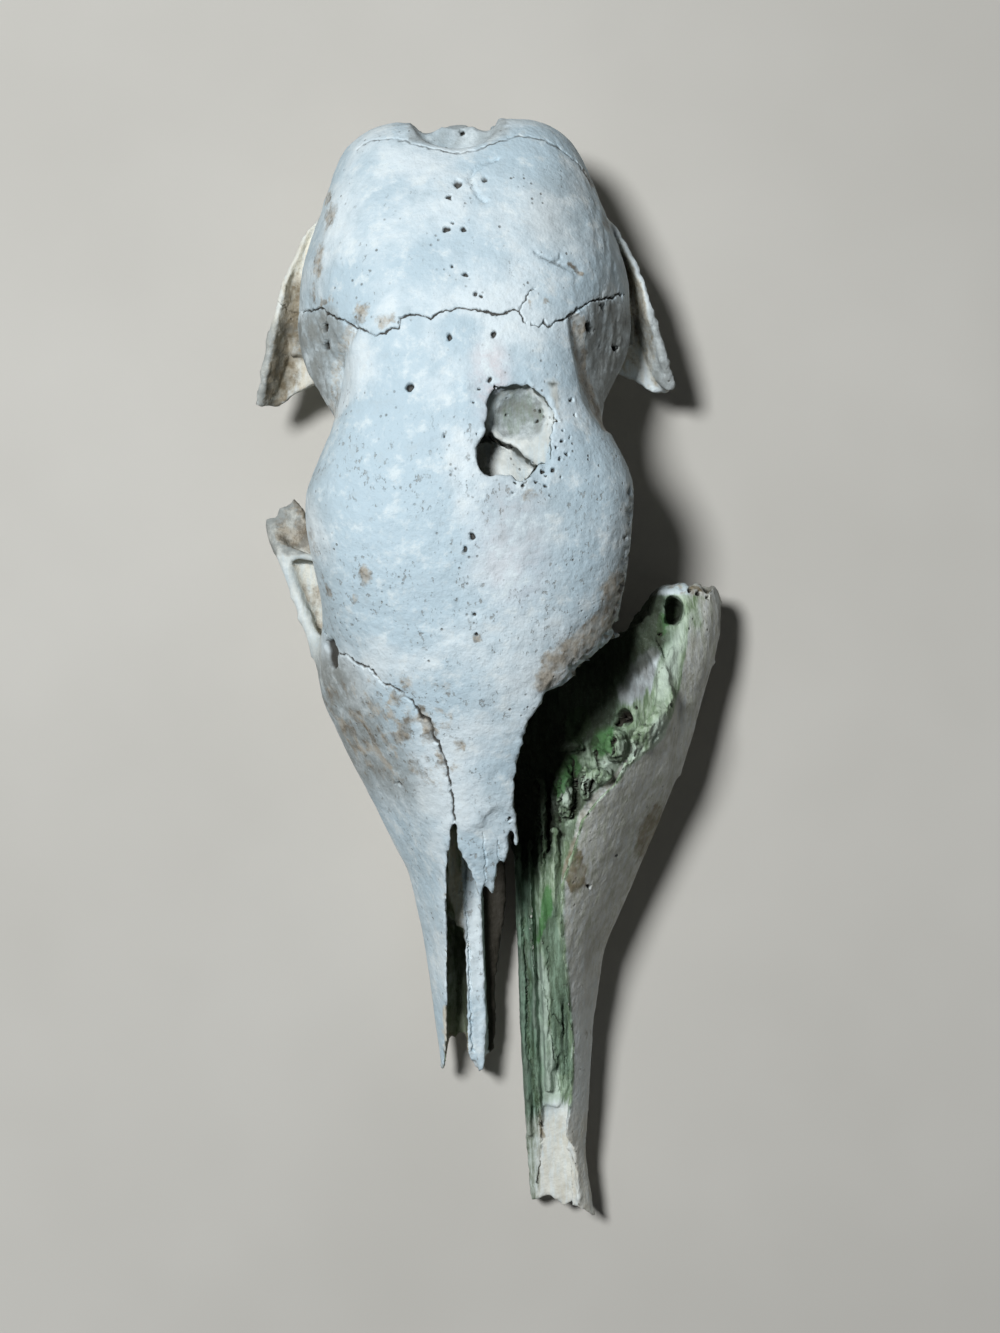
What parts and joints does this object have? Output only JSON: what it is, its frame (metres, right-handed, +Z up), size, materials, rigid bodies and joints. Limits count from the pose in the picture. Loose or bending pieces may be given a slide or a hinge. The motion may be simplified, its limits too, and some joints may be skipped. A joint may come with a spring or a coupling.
{
  "type": "armadillo skull",
  "caption": "Weathered armadillo skull without its lower jaw, the left upper jaw broken off and lying forward beside the long snout.",
  "frame": {"origin": "middle of the bounding box's underside, where the skull rests", "axes": "+Y toward the back of the head, -Y toward the snout, +X toward the animal's left, +Z up"},
  "size_m": [0.045, 0.1072, 0.0285],
  "materials": {
    "bone": "matte",
    "tooth": "satin"
  },
  "bodies": {
    "root": {"cranium": "bone", "loose_left_upper_jaw": "bone", "upper_right_tooth_1": "tooth", "upper_right_tooth_2": "tooth", "upper_right_tooth_3": "tooth", "upper_right_tooth_5": "tooth", "upper_right_tooth_6": "tooth", "upper_right_tooth_7": "tooth", "upper_left_tooth_1": "tooth", "upper_left_tooth_2": "tooth", "upper_left_tooth_4": "tooth", "upper_left_tooth_5": "tooth", "upper_left_tooth_7": "tooth"}
  },
  "joints": []
}
